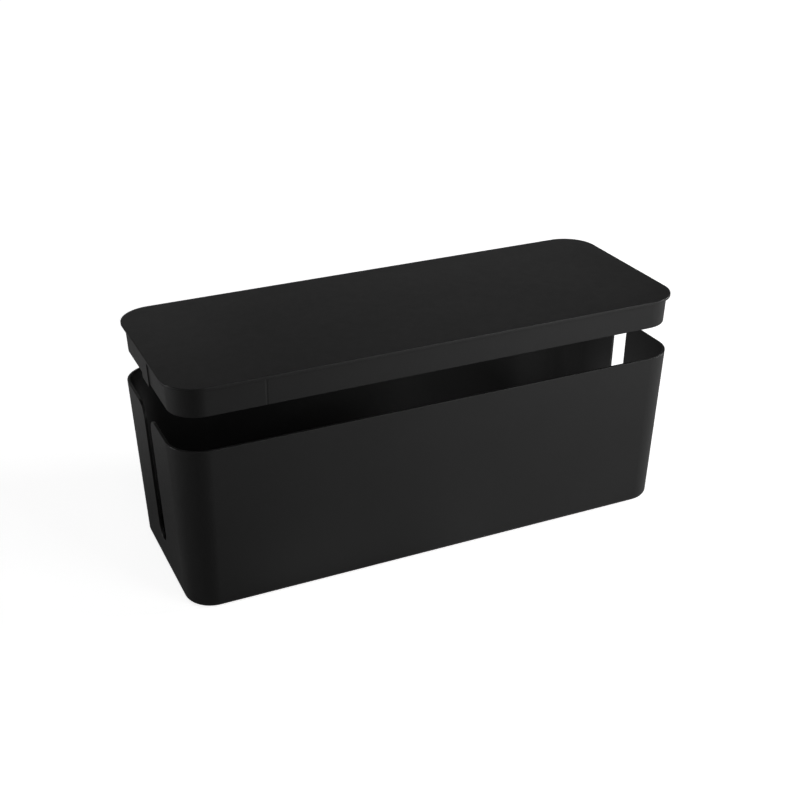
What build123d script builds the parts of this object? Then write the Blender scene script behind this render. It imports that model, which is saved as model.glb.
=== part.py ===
from build123d import *
import os

# Lidded cable management box: an open-topped drafted tub with a cable slot in
# each short end, four rubber feet and a loose lid whose skirt drops inside the
# rim. The lid is shown lifted off its seat.
#
# Frame: X along the length (longest side), Y across the width with the front
# long wall at -Y, Z up. The origin is the centre of the footprint on the
# surface the feet stand on. All sizes are in millimetres.

# ---------------------------------------------------------------- dimensions
# box body
rim_length = 400.0          # outside, across the two short ends, at the rim
rim_width = 154.5           # outside, across the two long walls, at the rim
rim_corner_radius = 25.5    # outside vertical corner radius at the rim
base_corner_radius = 21.0   # outside vertical corner radius at the base
body_height = 131.0         # underside of the floor to the rim
end_draft = 4.4             # how far each short end leans in at the base
side_draft = 7.4            # how far each long wall leans in at the base
wall = 2.0
floor = 2.5
base_edge_radius = 4.5      # outside edge between walls and floor
inner_edge_radius = 4.0     # inside edge between walls and floor
rim_edge_radius = 0.3       # softened rim edges

# cable slots, one in the middle of each short end, open at the top
slot_width = 18.5
slot_bottom = 23.0          # lowest point of the rounded slot end, from the underside
slot_flare_radius = 12.0    # rounded shoulders where the slot meets the rim
slot_cut_above = 5.0        # the cut runs on past the rim
slot_cut_beyond = 10.0      # and past each short end

# rubber feet
foot_radius = 7.0
foot_thickness = 2.2
foot_edge_radius = 0.5
foot_x = 162.0
foot_y = 46.0
foot_recess_depth = 0.8
foot_recess_radius = foot_radius + 0.2

# lid; depths are measured down from the flange underside
lid_raise = 45.0            # flange underside above the rim in this pose
lid_overhang = 0.4          # flange beyond the outside of the rim
flange_thickness = 2.2
flange_top_radius = 0.4
flange_under_radius = 0.3
skirt_depth = 21.0
skirt_clearance = 0.4       # between the skirt and the inside of the walls
skirt_wall = 1.8
tab_side_gap = 0.45         # between a tab and each side of its slot
tab_width = slot_width - 2 * tab_side_gap
tab_proud = 0.9             # tab face beyond the skirt face
tab_depth = 23.0
groove_x = 133.0            # faint upright groove on each long side of the skirt
groove_width = 2.4
groove_depth = 0.15
groove_cut_beyond = 0.3     # the groove cut starts this far outside the skirt

# heights, and insets of the skirt from the tub's outline
base_z = foot_thickness - foot_recess_depth     # underside of the floor
rim_z = base_z + body_height
lid_z = rim_z + lid_raise                       # flange underside
skirt_inset = wall + skirt_clearance
hollow_inset = skirt_inset + skirt_wall


def section(height, inset):
    """Length, width and corner radius of the tub's outline at a height above
    the underside, moved inwards by inset."""
    lean = 1.0 - height / body_height
    length = rim_length - 2 * end_draft * lean - 2 * inset
    width = rim_width - 2 * side_draft * lean - 2 * inset
    radius = rim_corner_radius - (rim_corner_radius - base_corner_radius) * lean - inset
    return length, width, radius


def edges_at(builder, z, tolerance=0.01):
    """Edges of the part being built that are centred at height z."""
    return builder.edges().filter_by_position(Axis.Z, z - tolerance, z + tolerance)


# ------------------------------------------------------------------ box body
def make_box_body():
    with BuildPart() as body:
        # outside: the outline grows from the base to the rim
        for height in (0.0, body_height):
            with BuildSketch(Plane.XY.offset(base_z + height)):
                RectangleRounded(*section(height, 0.0))
        loft()
        fillet(body.edges().group_by(Axis.Z)[0], base_edge_radius)

        # inside: the same draft, one wall thickness in, down to the floor
        for height in (floor, body_height):
            with BuildSketch(Plane.XY.offset(base_z + height)):
                RectangleRounded(*section(height, wall))
        loft(mode=Mode.SUBTRACT)
        fillet(edges_at(body, base_z + floor), inner_edge_radius)

        # rounded before the slots are cut, so only the rim is softened
        fillet(edges_at(body, rim_z), rim_edge_radius)

        # both cable slots in one cut along the length
        half = slot_width / 2
        flare_y = half + slot_flare_radius
        flare_z = rim_z - slot_flare_radius
        cut_top_z = rim_z + slot_cut_above
        arc_bottom_z = base_z + slot_bottom
        arc_centre_z = arc_bottom_z + half
        with BuildSketch(Plane.YZ):
            with BuildLine():
                Line((-flare_y, cut_top_z), (-flare_y, rim_z))
                RadiusArc((-flare_y, rim_z), (-half, flare_z), slot_flare_radius)
                Line((-half, flare_z), (-half, arc_centre_z))
                ThreePointArc((-half, arc_centre_z), (0, arc_bottom_z), (half, arc_centre_z))
                Line((half, arc_centre_z), (half, flare_z))
                RadiusArc((half, flare_z), (flare_y, rim_z), slot_flare_radius)
                Line((flare_y, rim_z), (flare_y, cut_top_z))
                Line((flare_y, cut_top_z), (-flare_y, cut_top_z))
            make_face()
        extrude(amount=rim_length / 2 + slot_cut_beyond, both=True, mode=Mode.SUBTRACT)

        # shallow round recesses that locate the four feet
        with BuildSketch(Plane.XY.offset(base_z)):
            with GridLocations(2 * foot_x, 2 * foot_y, 2, 2):
                Circle(foot_recess_radius)
        extrude(amount=foot_recess_depth, mode=Mode.SUBTRACT)
    return body.part


# ----------------------------------------------------------------------- lid
def make_lid():
    with BuildPart() as lid:
        # flat top plate; its border is the flange that sits on the rim
        with BuildSketch(Plane.XY.offset(lid_z)):
            RectangleRounded(*section(body_height, -lid_overhang))
        extrude(amount=flange_thickness)
        fillet(lid.edges().group_by(Axis.Z)[-1], flange_top_radius)
        fillet(lid.edges().group_by(Axis.Z)[0], flange_under_radius)

        # skirt that drops inside the rim, with the same draft as the walls
        for depth in (skirt_depth, 0.0):
            with BuildSketch(Plane.XY.offset(lid_z - depth)):
                RectangleRounded(*section(body_height - depth, skirt_inset))
        loft()

        # a tab on each short end that closes the top of the cable slot
        tab_face = rim_length / 2 - skirt_inset + tab_proud
        tab_back = rim_length / 2 - hollow_inset
        tab_lean = end_draft * tab_depth / body_height
        for side in (-1, 1):
            with BuildSketch(Plane.XZ):
                with BuildLine():
                    Polyline(
                        (side * tab_back, lid_z),
                        (side * tab_face, lid_z),
                        (side * (tab_face - tab_lean), lid_z - tab_depth),
                        (side * (tab_back - tab_lean), lid_z - tab_depth),
                        close=True,
                    )
                make_face()
            extrude(amount=tab_width / 2, both=True)

        # a faint upright groove on each long side, placed so that the lid is
        # the same when it is turned end for end
        skirt_face = rim_width / 2 - skirt_inset
        groove_outer = skirt_face + groove_cut_beyond
        groove_inner = skirt_face - groove_depth
        groove_lean = side_draft * skirt_depth / body_height
        for side in (-1, 1):
            with BuildSketch(Plane.YZ.offset(side * groove_x - groove_width / 2)):
                with BuildLine():
                    Polyline(
                        (side * groove_outer, lid_z),
                        (side * groove_inner, lid_z),
                        (side * (groove_inner - groove_lean), lid_z - skirt_depth),
                        (side * (groove_outer - groove_lean), lid_z - skirt_depth),
                        close=True,
                    )
                make_face()
            extrude(amount=groove_width, mode=Mode.SUBTRACT)

        # hollow underside
        for depth in (skirt_depth, 0.0):
            with BuildSketch(Plane.XY.offset(lid_z - depth)):
                RectangleRounded(*section(body_height - depth, hollow_inset))
        loft(mode=Mode.SUBTRACT)
    return lid.part


# ---------------------------------------------------------------------- feet
def make_foot(x, y):
    """Rubber disc that sits in its recess, proud of the underside."""
    with BuildPart() as foot:
        with BuildSketch(Plane.XY):
            with Locations((x, y)):
                Circle(foot_radius)
        extrude(amount=foot_thickness)
        fillet(foot.edges().group_by(Axis.Z)[0], foot_edge_radius)
    return foot.part


# -------------------------------------------------------------------- export
def save(part, name):
    part.label = name
    export_step(part, f"parts/{name}.step")


os.makedirs("parts", exist_ok=True)
save(make_box_body(), "box_body")
save(make_lid(), "lid")
for row, y in (("front", -foot_y), ("rear", foot_y)):
    for end, x in (("left", -foot_x), ("right", foot_x)):
        save(make_foot(x, y), f"foot_{row}_{end}")
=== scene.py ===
"""A black plastic cable box: an open tub with a slot in each end, a flat lid with a skirt that sits
inside the rim, and rubber feet let into the underside. It is long in X, wide in Y and stands on Z.
Each end faces +X or -X, and -Y is the front. Shapes are in millimetres, placed by the CAD boxes,
and become metres when meshed. Floor, light and camera values are in metres unless marked."""

import math

import bmesh
import bpy
from mathutils import Matrix, Vector
from mathutils.geometry import delaunay_2d_cdt


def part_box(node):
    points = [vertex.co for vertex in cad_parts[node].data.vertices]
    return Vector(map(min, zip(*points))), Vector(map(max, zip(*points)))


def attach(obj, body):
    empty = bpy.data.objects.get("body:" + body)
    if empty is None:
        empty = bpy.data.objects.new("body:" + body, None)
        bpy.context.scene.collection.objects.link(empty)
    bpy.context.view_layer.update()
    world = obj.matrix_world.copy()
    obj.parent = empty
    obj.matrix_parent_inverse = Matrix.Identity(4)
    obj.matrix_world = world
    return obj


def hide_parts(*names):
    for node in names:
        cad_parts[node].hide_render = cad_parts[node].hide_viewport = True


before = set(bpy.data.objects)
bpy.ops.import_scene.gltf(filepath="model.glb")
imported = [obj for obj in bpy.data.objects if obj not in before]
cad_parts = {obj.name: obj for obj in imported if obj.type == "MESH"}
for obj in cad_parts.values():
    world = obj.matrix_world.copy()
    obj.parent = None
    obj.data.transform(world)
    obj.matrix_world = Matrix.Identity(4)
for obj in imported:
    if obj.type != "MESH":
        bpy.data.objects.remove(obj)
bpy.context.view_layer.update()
scene = bpy.context.scene

MM = 0.001                          # metres in a millimetre

# ------------------------------------------------------------------ dimensions, in millimetres
body_lo, body_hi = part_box("box_body")
lid_lo, lid_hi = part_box("lid")
foot_boxes = {n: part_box(n) for n in sorted(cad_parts) if n.startswith("foot_")}

# tub
BASE_Z = body_lo.z / MM
BODY_H = body_hi.z / MM - BASE_Z
HALF_LENGTH = 200.0                 # at the rim
HALF_WIDTH = 77.25
RIM_CORNER_R = 25.5
BASE_CORNER_R = 21.0
END_DRAFT = 4.4                     # how far each end leans in from rim to base
SIDE_DRAFT = 7.4
WALL = 2.0
FLOOR_T = 2.5
OUTER_EDGE_R = 4.5                  # wall to underside
INNER_EDGE_R = 4.0                  # wall to inside floor
LIP_R = 0.3
FLAT_BORDER = 1.2                   # quad strip round the flat floors
EDGE_CLEARANCE = 0.4                # wall ring just above the outer edge radius

# slot in each end wall
SLOT_HALF = 9.25
SLOT_BOTTOM = 23.0                  # height above the underside
SLOT_FLARE = 12.0                   # radius of the shoulders at the rim
FRAME_HALF = 30.0                   # half width of the mesh patch round the slot

# recess round each foot: (radius, height above the underside)
RECESS_MOUTH = [(7.45, 0.0), (7.27, 0.07), (7.2, 0.25)]
RECESS_R = RECESS_MOUTH[-1][0]
RECESS_N = 48

# lid
LID_TOP = lid_hi.z / MM
LID_PLATE = 2.2
LID_Z = LID_TOP - LID_PLATE         # underside of the plate
LID_OUTLINE = (lid_hi.x / MM, lid_hi.y / MM, 25.9)
PLATE_TOP_R = 0.4
PLATE_BOTTOM_R = 0.3
LID_BORDER = 1.5                    # quad strip round the flat faces
SKIRT_DEPTH = 21.0
SKIRT_GAP = 0.4
SKIRT_WALL = 1.8
SKIRT_EDGE_R = 0.4                  # bottom edges
SKIRT_ROOT_R = 0.3                  # hollow corner outside, under the plate
SKIRT_ROOT_MARGIN = 0.1
SKIRT_INNER_ROOT_R = 1.2            # hollow corner inside, under the plate
TAB_HALF = 8.8                      # raised block in the middle of each skirt end
TAB_PROUD = 0.9
TAB_EDGE_R = 0.4
TAB_ROOT_R = 0.45
TAB_MARGIN = 1.2
TAB_PLAIN_SPREAD = 0.45             # reach of a tab edge's stations where the ring is plain
TAB_FLAT_INSET = 1.0
TAB_EXTRA = LID_Z - SKIRT_DEPTH - lid_lo.z / MM     # how far the tabs hang below the skirt
GROOVE_X = 133.0                    # faint upright groove in each long side of the skirt
GROOVE_HALF = 1.2
GROOVE_DEPTH = 0.13
GROOVE_MARGIN = 1.6

# feet
FOOT_N = 64
FOOT_EDGE_R = 0.5
FOOT_TOP = [(0.3, 0.0), (0.1, 0.03), (0.0, 0.15)]   # (inset from the radius, depth below the top)
# shallow dish underneath: (inset from the radius, height above the foot's underside)
FOOT_DISH = [(1.6, 0.0), (1.85, 0.06), (2.1, 0.18), (2.5, 0.25), (4.0, 0.25)]
DISH_CENTRE_R = 1.2
DISH_DEPTH = FOOT_DISH[-1][1]

# meshing
WELD = 2e-3
SHARP_ANGLE = 38.0                  # degrees
CORNER_N = 20                       # segments in each outline corner


# ------------------------------------------------------------------ mesh tools
class Mesher:
    """Collects faces in millimetres and welds them into one mesh object in metres."""

    def __init__(self):
        self.verts = []
        self.faces = []

    def grid(self, rows, closed=False):
        """Joins equal-length rows of points with quads. closed joins each row's end to its start."""
        base = len(self.verts)
        n = len(rows[0])
        for row in rows:
            self.verts.extend(tuple(point) for point in row)
        for i in range(len(rows) - 1):
            this, above = base + i * n, base + (i + 1) * n
            for j in range(n if closed else n - 1):
                k = (j + 1) % n
                self.faces.append((this + j, this + k, above + k, above + j))

    def planar(self, loops, z):
        """Fills a horizontal region. loops[0] is the outline and the others are holes."""
        points, edges = [], []
        for loop in loops:
            start, n = len(points), len(loop)
            points.extend(Vector(point[:2]) for point in loop)
            edges.extend((start + i, start + (i + 1) % n) for i in range(n))
        flat_verts, _, triangles, _, _, _ = delaunay_2d_cdt(points, edges, [], 2, 1e-5)
        base = len(self.verts)
        self.verts.extend((v.x, v.y, z) for v in flat_verts)
        for face in triangles:
            middle = sum((flat_verts[i] for i in face), Vector((0, 0))) / len(face)
            if not any(inside(middle, hole) for hole in loops[1:]):
                self.faces.append(tuple(base + i for i in face))

    def build(self, name):
        mesh = bpy.data.meshes.new(name)
        mesh.from_pydata([Vector(v) * MM for v in self.verts], [], self.faces)
        bm = bmesh.new()
        bm.from_mesh(mesh)
        bmesh.ops.remove_doubles(bm, verts=bm.verts, dist=WELD * MM)
        bmesh.ops.dissolve_degenerate(bm, edges=bm.edges, dist=WELD * MM * 0.5)
        bmesh.ops.recalc_face_normals(bm, faces=bm.faces)
        bm.to_mesh(mesh)
        bm.free()
        mesh.shade_smooth()
        mesh.set_sharp_from_angle(angle=math.radians(SHARP_ANGLE))
        obj = bpy.data.objects.new(name, mesh)
        scene.collection.objects.link(obj)
        normals = obj.modifiers.new("face_weighted_normals", "WEIGHTED_NORMAL")
        normals.mode = "FACE_AREA"
        normals.weight = 50
        normals.keep_sharp = True
        return obj


def inside(point, polygon):
    """Whether a point lies in a polygon, by counting the edges crossed towards +X."""
    x, y = point
    hit = False
    for i in range(len(polygon)):
        x0, y0 = polygon[i][:2]
        x1, y1 = polygon[(i + 1) % len(polygon)][:2]
        if (y0 > y) != (y1 > y) and x < (x1 - x0) * (y - y0) / (y1 - y0) + x0:
            hit = not hit
    return hit


def quarter(steps, first=0):
    """(cosine, sine) at even steps from 0 to 90 degrees, starting at step first."""
    angles = [math.pi / 2 * k / steps for k in range(first, steps + 1)]
    return [(math.cos(a), math.sin(a)) for a in angles]


def circle(centre, radius, z, count):
    angles = [2 * math.pi * k / count for k in range(count)]
    x, y = centre
    return [(x + radius * math.cos(a), y + radius * math.sin(a), z) for a in angles]


def box_centre(lo, hi):
    return (lo.x + hi.x) / 2 / MM, (lo.y + hi.y) / 2 / MM


def corner(x, y, radius, start):
    """Points of a quarter circle about (x, y) from the start angle, without the last one."""
    angles = [start + math.pi / 2 * k / CORNER_N for k in range(CORNER_N)]
    return [(x + radius * math.cos(a), y + radius * math.sin(a)) for a in angles]


def grow(outline, amount):
    """Moves an outline (half length, half width, corner radius) outwards."""
    return tuple(value + amount for value in outline)


def section(height, inset=0.0):
    """The tub's outline at a height above its underside."""
    lean = 1.0 - height / BODY_H
    outline = (
        HALF_LENGTH - END_DRAFT * lean,
        HALF_WIDTH - SIDE_DRAFT * lean,
        RIM_CORNER_R - (RIM_CORNER_R - BASE_CORNER_R) * lean,
    )
    return grow(outline, -inset)


# ------------------------------------------------------------------ box body
END_SHARES = [0.0, 0.25, 0.5, 0.75]     # shares of the flat between corner and slot frame
SLOT_N = 18                             # segments round the slot's lower end
LONG_N = 44                             # segments along each long wall
FLARE_N = 12                            # segments down a shoulder of the slot
STRAIGHT_N = 12                         # segments down a straight side of the slot
PATCH_STEPS = [0.0, 0.06, 0.2, 0.45, 0.72, 1.0]     # shares of the way from slot to frame
EDGE_N = 10                             # segments round the bottom edges
LIP_N = 6                               # segments in each half of the lip

FRAME_Y = [FRAME_HALF * (2 * k / SLOT_N - 1) for k in range(SLOT_N + 1)]

# indices in a body ring
FRAME_START = len(END_SHARES)           # y = -FRAME_HALF on the +X end
FRAME_END = FRAME_START + SLOT_N        # y = +FRAME_HALF on the +X end
HALF_RING = FRAME_END + len(END_SHARES) + 2 * CORNER_N + LONG_N     # start of the -X end

# heights of the wall rows, from the rim down: finer beside the slot's shoulders
TOP_ROW = BODY_H - LIP_R
FLARE_ROW = BODY_H - SLOT_FLARE - 3.0
LOW_ROW = OUTER_EDGE_R + 1.5
ROW_HEIGHTS = [TOP_ROW + (FLARE_ROW - TOP_ROW) * k / FLARE_N for k in range(FLARE_N)]
ROW_HEIGHTS += [
    FLARE_ROW + (LOW_ROW - FLARE_ROW) * k / STRAIGHT_N for k in range(STRAIGHT_N + 1)
]


def body_ring(height, inset, z=None):
    """A closed ring round the tub, anticlockwise from the low-Y corner of the +X end."""
    half_length, half_width, radius = section(height, inset)
    z = BASE_Z + height if z is None else z
    x, y = half_length - radius, half_width - radius
    end = [-y + (y - FRAME_HALF) * share for share in END_SHARES] + FRAME_Y
    end += [FRAME_HALF + (y - FRAME_HALF) * share for share in END_SHARES[1:]]
    half = [(half_length, station) for station in end]
    half += corner(x, y, radius, 0.0)
    half += [(x - 2 * x * k / LONG_N, half_width) for k in range(LONG_N)]
    half += corner(-x, y, radius, math.pi / 2)
    # the other half is the same, turned by 180 degrees
    return [(sign * px, sign * py, z) for sign in (1, -1) for px, py in half]


def between_frames(ring):
    """The two stretches of a body ring that run from one slot frame to the other."""
    spans = (
        (FRAME_END, HALF_RING + FRAME_START),
        (HALF_RING + FRAME_END, len(ring) + FRAME_START),
    )
    return [[ring[j % len(ring)] for j in range(a, b + 1)] for a, b in spans]


def slot_contour():
    """The wall's edge through a slot, LIP_R back from the opening, from the rim at -Y round the
    bottom to the rim at +Y: (y, height, y and z of the direction into the opening)."""
    shoulder_y, shoulder_h = -(SLOT_HALF + SLOT_FLARE), BODY_H - SLOT_FLARE
    shoulder_r = SLOT_FLARE - LIP_R
    left = []
    for k in range(FLARE_N):
        a = math.pi / 2 * (1 - k / FLARE_N)
        c, s = math.cos(a), math.sin(a)
        left.append((shoulder_y + shoulder_r * c, shoulder_h + shoulder_r * s, c, s))
    bottom_h, bottom_r = SLOT_BOTTOM + SLOT_HALF, SLOT_HALF + LIP_R
    for k in range(STRAIGHT_N):
        height = shoulder_h + (bottom_h - shoulder_h) * k / STRAIGHT_N
        left.append((-bottom_r, height, 1.0, 0.0))
    bottom = []
    for k in range(SLOT_N + 1):
        a = math.pi + math.pi * k / SLOT_N
        c, s = math.cos(a), math.sin(a)
        bottom.append((bottom_r * c, bottom_h + bottom_r * s, -c, -s))
    return left + bottom + [(-y, h, -edge_y, edge_z) for y, h, edge_y, edge_z in reversed(left)]


def frame_path():
    """The (y, height) frame that the slot patch meets: down one side, across, up the other."""
    left = [(-FRAME_HALF, h) for h in ROW_HEIGHTS]
    low = [(y, ROW_HEIGHTS[-1]) for y in FRAME_Y[1:]]
    right = [(FRAME_HALF, h) for h in reversed(ROW_HEIGHTS[:-1])]
    return left + low + right


def on_end(side, y, height, inset):
    """A point on an end wall. side is 1 for the +X end and -1 for the -X end."""
    return (side * section(height, inset)[0], side * y, BASE_Z + height)


def add_wall_sheet(m, inset):
    """One face of the walls, with a patch round each slot."""
    for rows in zip(*(between_frames(body_ring(h, inset)) for h in ROW_HEIGHTS)):
        m.grid(rows)
    pairs = list(zip(slot_contour(), frame_path()))
    for side in (1, -1):
        m.grid([
            [
                on_end(side, y + (frame_y - y) * t, h + (frame_h - h) * t, inset)
                for (y, h, _, _), (frame_y, frame_h) in pairs
            ]
            for t in PATCH_STEPS
        ])


def lip_section(outer, inner, edge):
    """Points across the rounded lip between the wall's faces. edge points out of the wall."""
    outer, inner, edge = Vector(outer), Vector(inner), Vector(edge)
    out = (outer - inner).normalized()
    edge = (edge - out * edge.dot(out)).normalized()
    arc = quarter(LIP_N)
    points = [outer - out * LIP_R + (out * c + edge * s) * LIP_R for c, s in arc]
    points += [inner + out * LIP_R + (-out * c + edge * s) * LIP_R for c, s in reversed(arc)]
    points[0], points[-1] = outer, inner        # meet the wall faces exactly
    return points


def add_lip(m):
    """The rounded lip along the rim and round the slots."""
    up = (0, 0, 1)
    stretches = [between_frames(body_ring(TOP_ROW, inset)) for inset in (0.0, WALL)]
    for outer, inner in zip(*stretches):
        m.grid([lip_section(a, b, up) for a, b in zip(outer, inner)])

    contour, path = slot_contour(), frame_path()
    for side in (1, -1):
        def lip_at(y, height, edge):
            return lip_section(
                on_end(side, y, height, 0.0), on_end(side, y, height, WALL), edge
            )

        def rim_part(index, shares):
            """The rim between the slot's end at index and its frame."""
            y, frame_y = contour[index][0], path[index][0]
            return [lip_at(y + (frame_y - y) * t, TOP_ROW, up) for t in shares]

        line = rim_part(0, reversed(PATCH_STEPS[1:]))
        line += [lip_at(y, h, (0, side * edge_y, edge_z)) for y, h, edge_y, edge_z in contour]
        line += rim_part(-1, PATCH_STEPS[1:])
        m.grid(line)


def add_underside(m):
    """The outer edge radius, the underside and the foot recesses."""
    rings = [body_ring(ROW_HEIGHTS[-1], 0.0), body_ring(OUTER_EDGE_R + EDGE_CLEARANCE, 0.0)]
    for c, s in quarter(EDGE_N):
        z = BASE_Z + OUTER_EDGE_R * (1 - s)
        rings.append(body_ring(OUTER_EDGE_R, OUTER_EDGE_R * (1 - c), z))
    m.grid(rings, closed=True)
    border = body_ring(OUTER_EDGE_R, OUTER_EDGE_R + FLAT_BORDER, BASE_Z)
    m.grid([rings[-1], border], closed=True)

    loops = [border]
    for lo, hi in foot_boxes.values():
        centre, ceiling = box_centre(lo, hi), hi.z / MM
        recess = [circle(centre, r, BASE_Z + rise, RECESS_N) for r, rise in RECESS_MOUTH]
        recess.append(circle(centre, RECESS_R, ceiling, RECESS_N))
        m.grid(recess, closed=True)
        m.planar([recess[-1]], ceiling)
        loops.append(recess[0])
    m.planar(loops, BASE_Z)


def add_inside_floor(m):
    """The inner edge radius and the floor."""
    start = ROW_HEIGHTS[-1]
    floor_z = BASE_Z + FLOOR_T
    rings = [body_ring(start, WALL)]
    for c, s in quarter(EDGE_N, first=1):
        z = BASE_Z + start - (start - FLOOR_T) * s
        rings.append(body_ring(start, WALL + INNER_EDGE_R * (1 - c), z))
    m.grid(rings, closed=True)
    border = body_ring(start, WALL + INNER_EDGE_R + FLAT_BORDER, floor_z)
    m.grid([rings[-1], border], closed=True)
    m.planar([border], floor_z)


def build_body():
    m = Mesher()
    add_wall_sheet(m, 0.0)
    add_wall_sheet(m, WALL)
    add_lip(m)
    add_underside(m)
    add_inside_floor(m)
    return m.build("cable_box_body")


# ------------------------------------------------------------------ lid
def tab_stations():
    """Stations across a tab: (y with the tab, outward offset, y on a plain ring, drop share)."""
    profile = [
        (-TAB_HALF - TAB_ROOT_R + TAB_ROOT_R * s, TAB_ROOT_R * (1 - c)) for c, s in quarter(3)
    ]
    profile += [
        (-TAB_HALF + TAB_EDGE_R * (1 - c), TAB_PROUD - TAB_EDGE_R + TAB_EDGE_R * s)
        for c, s in quarter(4)
    ]
    step = 2 * TAB_PLAIN_SPREAD / (len(profile) - 1)
    left = [
        (y, offset, -TAB_HALF - TAB_PLAIN_SPREAD + step * k, 0.0 if k < 3 else 1.0)
        for k, (y, offset) in enumerate(profile)
    ]
    flat_half = TAB_HALF - TAB_FLAT_INSET
    middle = [
        (share * flat_half, TAB_PROUD, share * flat_half, 1.0)
        for share in (-0.7, -0.35, 0.0, 0.35, 0.7)
    ]
    right = [(-y, offset, -plain_y, drop) for y, offset, plain_y, drop in reversed(left)]
    return left + middle + right


TAB_STATIONS = tab_stations()
# (position along the side, outward offset) across a groove
GROOVE_STATIONS = [
    (GROOVE_HALF * k / 8, -GROOVE_DEPTH * (1 + math.cos(math.pi * k / 8)) / 2)
    for k in range(-8, 9)
]
LID_END_SHARES = [0.0, 0.2, 0.4, 0.6, 0.8, 0.93]        # from corner to tab
LID_SIDE_SHARES = [k / 10 for k in range(10)] + [0.965]     # from corner to groove
LID_SIDE_N = 32                                         # segments from groove to far corner


def lid_ring(outline, z, relief=False, drop=0.0):
    """A closed ring round the lid. relief adds the tabs and grooves, drop lowers the tab
    stations. The grooves are at +X on the +Y side and at -X on the -Y side."""
    half_length, half_width, radius = outline
    corner_x, corner_y = half_length - radius, half_width - radius

    # +X end: (x, y, change in z)
    tab_reach = TAB_HALF + TAB_MARGIN
    span = corner_y - tab_reach
    half = [(half_length, -corner_y + span * share, 0.0) for share in LID_END_SHARES]
    half.append((half_length, -tab_reach, 0.0))
    for tab_y, offset, plain_y, drop_share in TAB_STATIONS:
        x = half_length + offset * relief
        half.append((x, tab_y if relief else plain_y, -drop * drop_share))
    half.append((half_length, tab_reach, 0.0))
    for share in reversed(LID_END_SHARES[1:]):
        half.append((half_length, corner_y - span * share, 0.0))

    # corner, +Y side and the next corner
    near, far = GROOVE_X + GROOVE_MARGIN, GROOVE_X - GROOVE_MARGIN
    side = [(corner_x + (near - corner_x) * share, half_width) for share in LID_SIDE_SHARES]
    side.append((near, half_width))
    side += [(GROOVE_X - along, half_width + offset * relief) for along, offset in GROOVE_STATIONS]
    side.append((far, half_width))
    for k in range(1, LID_SIDE_N):
        side.append((far + (-corner_x - far) * k / LID_SIDE_N, half_width))
    flat = corner(corner_x, corner_y, radius, 0.0) + side
    flat += corner(-corner_x, corner_y, radius, math.pi / 2)
    half += [(x, y, 0.0) for x, y in flat]
    # the other half is the same, turned by 180 degrees
    return [(sign * x, sign * y, z + dz) for sign in (1, -1) for x, y, dz in half]


def skirt(depth, inset=0.0):
    """The skirt's outline at a depth below the plate."""
    return section(BODY_H - depth, WALL + SKIRT_GAP + inset)


def plate_rings():
    """From the flat top's border round the plate's edge to its underside."""
    rings = [lid_ring(grow(LID_OUTLINE, -PLATE_TOP_R - LID_BORDER), LID_TOP)]
    for c, s in quarter(8):
        outline = grow(LID_OUTLINE, -PLATE_TOP_R * (1 - s))
        rings.append(lid_ring(outline, LID_TOP - PLATE_TOP_R * (1 - c)))
    for c, s in quarter(4):
        outline = grow(LID_OUTLINE, -PLATE_BOTTOM_R * (1 - c))
        rings.append(lid_ring(outline, LID_Z + PLATE_BOTTOM_R * (1 - s)))
    return rings


SKIRT_EDGE_DEPTH = SKIRT_DEPTH - SKIRT_EDGE_R       # where the bottom edges start to round


def skirt_outer_rings():
    """Hollow corner under the plate, drafted face and rounded bottom edge."""
    root = skirt(0.0)
    rings = [lid_ring(grow(root, SKIRT_ROOT_R + SKIRT_ROOT_MARGIN), LID_Z, relief=True)]
    for c, s in quarter(3):
        outline = grow(root, SKIRT_ROOT_R * (1 - s))
        rings.append(lid_ring(outline, LID_Z - SKIRT_ROOT_R * (1 - c), relief=True))
    for k in range(1, 9):
        depth = SKIRT_ROOT_R + (SKIRT_EDGE_DEPTH - SKIRT_ROOT_R) * k / 8
        drop = TAB_EXTRA * (depth / SKIRT_EDGE_DEPTH)
        rings.append(lid_ring(skirt(depth), LID_Z - depth, relief=True, drop=drop))
    for c, s in quarter(4, first=1):
        outline = grow(skirt(SKIRT_EDGE_DEPTH), -SKIRT_EDGE_R * (1 - c))
        z = LID_Z - SKIRT_EDGE_DEPTH - SKIRT_EDGE_R * s
        rings.append(lid_ring(outline, z, relief=True, drop=TAB_EXTRA))
    return rings


def skirt_inner_rings():
    """Rounded bottom edge, inner face, hollow corner and the border of the plate's underside."""
    rings = []
    for c, s in reversed(quarter(4)):
        outline = grow(skirt(SKIRT_EDGE_DEPTH, SKIRT_WALL), SKIRT_EDGE_R * (1 - c))
        z = LID_Z - SKIRT_EDGE_DEPTH - SKIRT_EDGE_R * s
        rings.append(lid_ring(outline, z, drop=TAB_EXTRA))
    root_r = SKIRT_INNER_ROOT_R
    for k in range(1, 6):
        depth = SKIRT_EDGE_DEPTH - (SKIRT_EDGE_DEPTH - root_r) * k / 5
        drop = TAB_EXTRA * depth / SKIRT_EDGE_DEPTH
        rings.append(lid_ring(skirt(depth, SKIRT_WALL), LID_Z - depth, drop=drop))
    root = skirt(root_r, SKIRT_WALL)
    for k, (c, s) in enumerate(quarter(6, first=1), start=1):
        drop = TAB_EXTRA * root_r / SKIRT_EDGE_DEPTH * (1 - k / 6)
        rings.append(lid_ring(grow(root, -root_r * (1 - c)), LID_Z - root_r + root_r * s, drop=drop))
    rings.append(lid_ring(grow(root, -root_r - LID_BORDER), LID_Z))
    return rings


def build_lid():
    m = Mesher()
    rings = plate_rings() + skirt_outer_rings() + skirt_inner_rings()
    m.grid(rings, closed=True)
    m.planar([rings[0]], LID_TOP)
    m.planar([rings[-1]], LID_Z)
    return m.build("cable_box_lid")


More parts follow.
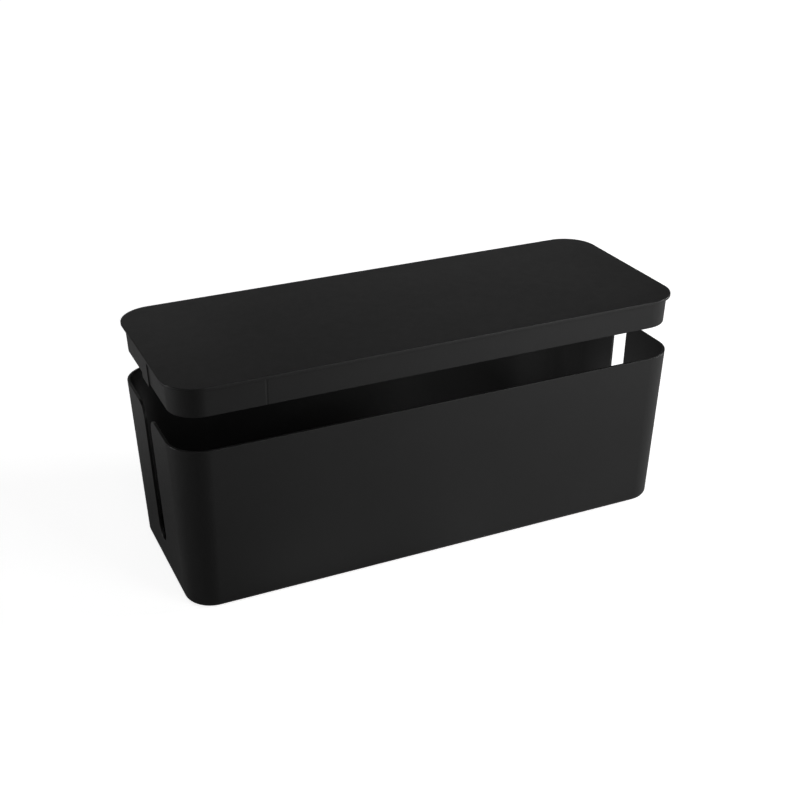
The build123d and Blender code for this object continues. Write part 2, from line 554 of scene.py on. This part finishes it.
# ------------------------------------------------------------------ feet
def build_foot(name, lo, hi):
    radius = (hi.x - lo.x) / 2 / MM
    bottom, top = lo.z / MM, hi.z / MM
    profile = [(radius - inset, top - depth) for inset, depth in FOOT_TOP]
    profile.append((radius, bottom + FOOT_EDGE_R))
    profile += [
        (radius - FOOT_EDGE_R * (1 - c), bottom + FOOT_EDGE_R * (1 - s))
        for c, s in quarter(6, first=1)
    ]
    profile += [(radius - inset, bottom + rise) for inset, rise in FOOT_DISH]
    profile.append((DISH_CENTRE_R, bottom + DISH_DEPTH))

    m = Mesher()
    centre = box_centre(lo, hi)
    rings = [circle(centre, r, z, FOOT_N) for r, z in profile]
    m.grid(rings, closed=True)
    m.planar([rings[0]], top)
    m.planar([rings[-1]], bottom + DISH_DEPTH)
    return m.build(name)


def register(piece, carrier, cad_name):
    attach(piece, carrier)
    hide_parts(cad_name)


body = build_body()
lid = build_lid()
feet = {n: build_foot("rubber_" + n, lo, hi) for n, (lo, hi) in foot_boxes.items()}

register(body, "box", "box_body")
register(lid, "lid", "lid")
for cad_name, foot in feet.items():
    register(foot, "box", cad_name)


# ------------------------------------------------------------------ materials
class ShaderTree:
    """Adds nodes to a shader tree."""

    def __init__(self, tree):
        self.tree = tree

    def add(self, kind, inputs=None, **settings):
        """inputs maps a socket's name or index to a value, or to an output to link from."""
        node = self.tree.nodes.new(kind)
        for key, value in settings.items():
            setattr(node, key, value)
        for key, value in (inputs or {}).items():
            if isinstance(value, bpy.types.NodeSocket):
                self.tree.links.new(value, node.inputs[key])
            else:
                node.inputs[key].default_value = value
        return node

    def math(self, operation, *operands):
        inputs = dict(enumerate(operands))
        return self.add("ShaderNodeMath", inputs, operation=operation).outputs[0]

    def remap(self, value, source, target, curve="LINEAR"):
        """Maps the source range to the target range and clamps the result."""
        inputs = dict(enumerate((value, *source, *target)))
        return self.add("ShaderNodeMapRange", inputs, interpolation_type=curve).outputs[0]

    def noise(self, vector, scale, detail, roughness=0.5):
        inputs = {"Vector": vector, "Scale": scale, "Detail": detail, "Roughness": roughness}
        return self.add("ShaderNodeTexNoise", inputs).outputs["Fac"]

    def mix_colour(self, factor, a, b):
        inputs = {"Factor": factor, "A": a, "B": b}
        return self.add("ShaderNodeMix", inputs, data_type="RGBA").outputs["Result"]

    def mix_shader(self, factor, a, b):
        return self.add("ShaderNodeMixShader", {0: factor, 1: a, 2: b}).outputs[0]

    def add_shader(self, a, b):
        return self.add("ShaderNodeAddShader", {0: a, 1: b}).outputs[0]

    def diffuse(self, grey):
        return self.add("ShaderNodeBsdfDiffuse", {"Color": (grey, grey, grey, 1)}).outputs[0]

    def emission(self, strength):
        inputs = {"Color": (1, 1, 1, 1), "Strength": strength}
        return self.add("ShaderNodeEmission", inputs).outputs[0]


def new_material(name):
    """An empty node material and its tree."""
    mat = bpy.data.materials.new(name)
    mat.use_nodes = True
    mat.node_tree.nodes.clear()
    return mat, ShaderTree(mat.node_tree)


def finish_material(tree, shader):
    tree.add("ShaderNodeOutputMaterial", {0: shader})


PLASTIC_TINT = (0.006, 0.006, 0.006)
PLASTIC_ROUGHNESS = 0.45


def tinted(gain, lift=0.0):
    return (*[c * gain + lift for c in PLASTIC_TINT], 1)


def moulded_plastic(name, offset):
    """Black satin plastic: fine grain, slow waviness and edges lightened by a painted highlight,
    patchy like wear. offset moves the pattern.
    """
    mat, tree = new_material(name)
    coords = tree.add("ShaderNodeTexCoord").outputs["Object"]
    location = (offset, offset * 0.7, offset * 1.3)
    vector = tree.add("ShaderNodeMapping", {"Vector": coords, "Location": location}).outputs[0]

    cloudy = tree.noise(vector, scale=9.0, detail=3.0, roughness=0.55)      # about 10 cm
    mottle = tree.noise(vector, scale=160.0, detail=4.0, roughness=0.6)     # a few millimetres
    grain = tree.noise(vector, scale=2600.0, detail=3.0, roughness=0.6)     # about 0.4 mm
    pits = tree.add(
        "ShaderNodeTexVoronoi", {"Vector": vector, "Scale": 2100.0, "Randomness": 1.0}
    )

    # edges: where the true normal and a rounded one part
    normal = tree.add("ShaderNodeNewGeometry").outputs["Normal"]
    rounded = tree.add("ShaderNodeBevel", {"Radius": 0.0012}, samples=6).outputs[0]
    agreement = tree.add(
        "ShaderNodeVectorMath", {0: normal, 1: rounded}, operation="DOT_PRODUCT"
    ).outputs["Value"]
    edge = tree.remap(agreement, source=(0.995, 0.85), target=(0.0, 1.0))
    patchy = tree.remap(mottle, source=(0.35, 0.7), target=(0.25, 1.0))
    edge_highlight_mask = tree.math("MULTIPLY", edge, patchy)

    # colour: clouded near black, lighter on the edges where a highlight is painted in
    clouds = tree.remap(cloudy, source=(0.3, 0.7), target=(0.0, 1.0))
    base = tree.mix_colour(clouds, tinted(0.88), tinted(1.12))
    # painted highlight: the edge mask lightens the colour along rounded edges, in patches
    colour = tree.mix_colour(tree.math("MULTIPLY", edge_highlight_mask, 0.5), base, tinted(1.5, lift=0.002))

    # roughness: satin and slightly uneven, glossier on the edges that carry the painted highlight
    rough_range = (PLASTIC_ROUGHNESS - 0.025, PLASTIC_ROUGHNESS + 0.025)
    roughness = tree.math(
        "ADD",
        tree.remap(cloudy, source=(0.25, 0.75), target=rough_range),
        tree.remap(mottle, source=(0.3, 0.7), target=(-0.02, 0.02)),
    )
    roughness = tree.math("SUBTRACT", roughness, tree.math("MULTIPLY", edge_highlight_mask, 0.08))

    # bump: waviness below, grain and pits above
    waviness = tree.noise(vector, scale=14.0, detail=2.0)
    wave = tree.add(
        "ShaderNodeBump", {"Strength": 0.25, "Distance": 0.0004, "Height": waviness}
    ).outputs[0]
    pitting = tree.math("MULTIPLY", pits.outputs["Distance"], 0.6)
    fine = tree.add("ShaderNodeBump", {
        "Strength": 0.22,
        "Distance": 0.00005,
        "Height": tree.math("ADD", grain, pitting),
        "Normal": wave,
    }).outputs[0]

    surface = tree.add("ShaderNodeBsdfPrincipled", {
        "IOR": 1.49,
        "Specular IOR Level": 0.5,
        "Base Color": colour,
        "Roughness": roughness,
        "Normal": fine,
    })
    finish_material(tree, surface.outputs[0])
    return mat


def foot_rubber(name):
    """Dull, speckled dark rubber."""
    mat, tree = new_material(name)
    vector = tree.add("ShaderNodeTexCoord").outputs["Object"]
    speck = tree.noise(vector, scale=900.0, detail=5.0, roughness=0.65)
    soft = tree.noise(vector, scale=120.0, detail=3.0)
    colour = tree.mix_colour(
        tree.remap(soft, source=(0.3, 0.7), target=(0.0, 1.0)),
        (0.016, 0.016, 0.017, 1),
        (0.036, 0.036, 0.037, 1),
    )
    bump = tree.add("ShaderNodeBump", {"Strength": 0.35, "Distance": 0.0001, "Height": speck})
    surface = tree.add("ShaderNodeBsdfPrincipled", {
        "IOR": 1.5,
        "Specular IOR Level": 0.35,
        "Base Color": colour,
        "Roughness": tree.remap(speck, source=(0.3, 0.7), target=(0.72, 0.86)),
        "Normal": bump.outputs[0],
    })
    finish_material(tree, surface.outputs[0])
    return mat


box_mat = moulded_plastic("box_black_plastic", offset=0.0)
lid_mat = moulded_plastic("lid_black_plastic", offset=3.1)
rubber_mat = foot_rubber("foot_black_rubber")
body.data.materials.append(box_mat)
lid.data.materials.append(lid_mat)
for foot in feet.values():
    foot.data.materials.append(rubber_mat)
# the hidden CAD nodes carry the same finishes
for cad_name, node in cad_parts.items():
    if cad_name.startswith("foot_"):
        finish = rubber_mat
    else:
        finish = lid_mat if cad_name == "lid" else box_mat
    for slot in node.material_slots:
        slot.material = finish

# ------------------------------------------------------------------ studio floor
# Azimuth is in degrees: 0 is in front of the object (-Y), 90 is to its right (+X).
FLOOR_HALF = 6.0
POOL_HALF_ANGLE = 50
# wide pools of floor light: (azimuth, strength near the object, strength far off)
FLOOR_POOLS = [
    (-160, 0.22, 0.0), (-80, 0.024, 0.18), (-40, 0.007, 0.0), (0, 0.135, 0.0),
    (40, 0.148, 0.173), (80, 0.128, 0.0), (120, 0.03, 0.0), (160, 0.12, 0.0),
]
# soft ovals of floor light: (x, y, half size in x, half size in y, strength)
FLOOR_OVALS = [(-0.095, -0.105, 0.09, 0.055, 0.17), (0.29, -0.36, 0.20, 0.14, 0.50)]
BENEATH_HALF_X, BENEATH_HALF_Y = 0.192, 0.067       # even patch under the box
BENEATH_STRENGTH = 0.08


def sweep_strength(tree, x, y, radius):
    """Strength of the light that the floor sends to the object, varying round it."""
    bearing = tree.math("ARCTAN2", x, tree.math("MULTIPLY", y, -1.0))

    def fade(start, end):
        """One inside the start radius, nought beyond the end radius."""
        return tree.remap(radius, (start, end), (1.0, 0.0), curve="SMOOTHSTEP")

    near_part = fade(0.35, 0.75)
    far_part = tree.math("MULTIPLY", fade(1.5, 3.0), tree.math("SUBTRACT", 1.0, near_part))
    edge_cos = math.cos(math.radians(POOL_HALF_ANGLE))

    def pool(azimuth, near, far):
        c = tree.math("COSINE", tree.math("SUBTRACT", bearing, math.radians(azimuth)))
        bump = tree.math("DIVIDE", tree.math("SUBTRACT", c, edge_cos), 1.0 - edge_cos)
        bump = tree.math("MAXIMUM", bump, 0.0)
        near_light = tree.math("MULTIPLY", near_part, near)
        far_light = tree.math("MULTIPLY", far_part, far)
        strength = tree.math("ADD", near_light, far_light)
        return tree.math("MULTIPLY", tree.math("MULTIPLY", bump, bump), strength)

    def oval(centre_x, centre_y, half_x, half_y, strength):
        dx = tree.math("DIVIDE", tree.math("SUBTRACT", x, centre_x), half_x)
        dy = tree.math("DIVIDE", tree.math("SUBTRACT", y, centre_y), half_y)
        square = tree.math("ADD", tree.math("MULTIPLY", dx, dx), tree.math("MULTIPLY", dy, dy))
        bump = tree.math("MAXIMUM", tree.math("SUBTRACT", 1.0, square), 0.0)
        return tree.math("MULTIPLY", tree.math("MULTIPLY", bump, bump), strength)

    parts = [pool(*row) for row in FLOOR_POOLS] + [oval(*row) for row in FLOOR_OVALS]
    total = parts[0]
    for part in parts[1:]:
        total = tree.math("ADD", total, part)

    # under the box the light is even, so that the underside shows no pattern
    beside = tree.math(
        "MAXIMUM",
        tree.math("SUBTRACT", tree.math("ABSOLUTE", x), BENEATH_HALF_X),
        tree.math("SUBTRACT", tree.math("ABSOLUTE", y), BENEATH_HALF_Y),
    )
    outside = tree.remap(beside, (-0.02, 0.0), (0.0, 1.0), curve="SMOOTHSTEP")
    under = tree.math("SUBTRACT", 1.0, outside)
    beneath = tree.math("MULTIPLY", under, BENEATH_STRENGTH)
    return tree.math("ADD", tree.math("MULTIPLY", total, outside), beneath)


def floor_material():
    """Pale with soft shadows to the camera, a lit sweep to the object, clear from below."""
    mat, tree = new_material("pale_floor")
    position = tree.add("ShaderNodeNewGeometry").outputs["Position"]
    x, y, _ = tree.add("ShaderNodeSeparateXYZ", {0: position}).outputs
    square = tree.math("ADD", tree.math("MULTIPLY", x, x), tree.math("MULTIPLY", y, y))
    radius = tree.math("SQRT", square)

    glow = tree.remap(radius, (1.2, 2.4), (0.84, 1.0), curve="SMOOTHSTEP")
    seen = tree.add_shader(tree.diffuse(0.8), tree.emission(glow))
    sweep = tree.emission(sweep_strength(tree, x, y, radius))
    bounce = tree.add_shader(tree.diffuse(0.32), sweep)
    camera_ray = tree.add("ShaderNodeLightPath").outputs["Is Camera Ray"]
    above = tree.mix_shader(camera_ray, bounce, seen)
    from_below = tree.add("ShaderNodeNewGeometry").outputs["Backfacing"]
    clear = tree.add("ShaderNodeBsdfTransparent").outputs[0]
    finish_material(tree, tree.mix_shader(from_below, above, clear))
    return mat


def build_floor():
    mesh = bpy.data.meshes.new("studio_floor")
    signs = ((-1, -1), (1, -1), (1, 1), (-1, 1))
    corners = [(sx * FLOOR_HALF, sy * FLOOR_HALF, 0) for sx, sy in signs]
    mesh.from_pydata(corners, [], [(0, 1, 2, 3)])
    floor = bpy.data.objects.new("studio_floor", mesh)
    scene.collection.objects.link(floor)
    mesh.materials.append(floor_material())


# ------------------------------------------------------------------ world and lights
def build_world():
    """White to the camera, nearly dark to the object, so that the lights shape it."""
    world = bpy.data.worlds.new("studio")
    scene.world = world
    world.use_nodes = True
    nodes = world.node_tree.nodes
    tree = ShaderTree(world.node_tree)
    dim = nodes["Background"]
    dim.inputs["Color"].default_value = (1, 1, 1, 1)
    dim.inputs["Strength"].default_value = 0.006
    pale = tree.add("ShaderNodeBackground", {"Color": (1, 1, 1, 1), "Strength": 1.0})
    camera_ray = tree.add("ShaderNodeLightPath").outputs["Is Camera Ray"]
    mixed = tree.mix_shader(camera_ray, dim.outputs[0], pale.outputs[0])
    world.node_tree.links.new(mixed, nodes["World Output"].inputs[0])


def direction(azimuth, elevation):
    """Unit vector from the object, with both angles in degrees."""
    a, e = math.radians(azimuth), math.radians(elevation)
    return Vector((math.sin(a) * math.cos(e), -math.cos(a) * math.cos(e), math.sin(e)))


def area_light(name, at, aim, size, power, glossy=True):
    """A panel that the camera doesn't see. glossy lets it show in reflections."""
    data = bpy.data.lights.new(name, "AREA")
    data.shape = "RECTANGLE"
    data.size, data.size_y = size
    data.energy = power
    obj = bpy.data.objects.new(name, data)
    obj.location = at
    obj.rotation_mode = "QUATERNION"
    obj.rotation_quaternion = (Vector(aim) - Vector(at)).to_track_quat("-Z", "Y")
    obj.visible_camera = False
    obj.visible_glossy = glossy
    scene.collection.objects.link(obj)


SOFTBOX_DISTANCE = 1.9
SOFTBOX_PIVOT = Vector((0, 0, 0.05))
SOFTBOX_AIM = (0.0, 0.0, 0.09)
# (name, azimuth, elevation, side of the square, power in watts)
SOFTBOXES = [
    ("front_softbox", 30, 12, 0.9, 10.9),
    ("right_softbox", 75, 12, 0.4, 27.1),
    ("left_softbox", -110, 4, 0.4, 10.2),
    ("top_fill", -40, 66, 0.9, 3.7),
    ("rear_low_softbox", 180, 14, 0.9, 0.95),
    ("rear_right_softbox", 150, 14, 0.9, 0.64),
    ("rear_right_high_softbox", 150, 38, 0.9, 0.27),
]
# faint panels inside the tub: (name, place, aim, size, power in watts)
INSIDE_FILLS = [
    ("inside_fill_soft", (0.06, -0.03, 0.03), (0.16, 0.08, 0.14), (0.03, 0.04), 0.15),
    ("inside_fill_end", (0.13, -0.015, 0.06), (0.2, -0.01, 0.12), (0.03, 0.03), 0.17),
]


def build_lights():
    for name, azimuth, elevation, side, power in SOFTBOXES:
        at = direction(azimuth, elevation) * SOFTBOX_DISTANCE + SOFTBOX_PIVOT
        area_light(name, at, SOFTBOX_AIM, (side, side), power)
    for name, at, aim, size, power in INSIDE_FILLS:
        area_light(name, at, aim, size, power, glossy=False)


# ------------------------------------------------------------------ camera
CAMERA_AZIMUTH = -24.288            # degrees
CAMERA_ELEVATION = 26.492
CAMERA_ROLL = -0.3433
# from the middle of the tub's underside along the view's axes, in millimetres
CAMERA_BACK, CAMERA_RIGHT, CAMERA_UP = 1053.18, 0.35, 85.94


def build_camera():
    back = direction(CAMERA_AZIMUTH, CAMERA_ELEVATION)
    forward = -back
    level_right = forward.cross(Vector((0, 0, 1))).normalized()
    level_up = level_right.cross(forward)
    roll = math.radians(CAMERA_ROLL)
    right = math.cos(roll) * level_right + math.sin(roll) * level_up
    up = -math.sin(roll) * level_right + math.cos(roll) * level_up
    place = (back * CAMERA_BACK + CAMERA_RIGHT * right + CAMERA_UP * up) * MM
    place += Vector((0, 0, body_lo.z))

    data = bpy.data.cameras.new("camera")
    camera = bpy.data.objects.new("camera", data)
    scene.collection.objects.link(camera)
    rotation = Matrix((right, up, -forward)).transposed()
    camera.matrix_world = Matrix.Translation(place) @ rotation.to_4x4()
    data.sensor_fit = "HORIZONTAL"
    data.sensor_width = 36.0
    data.lens = 58.3308
    data.shift_x = -0.0042625
    data.shift_y = 0.0022125
    data.clip_start = 0.05
    data.clip_end = 50.0
    scene.camera = camera


scene.view_settings.view_transform = "Standard"
scene.view_settings.look = "None"
scene.view_settings.exposure = 0.0
scene.view_settings.gamma = 1.0
build_floor()
build_world()
build_lights()
build_camera()
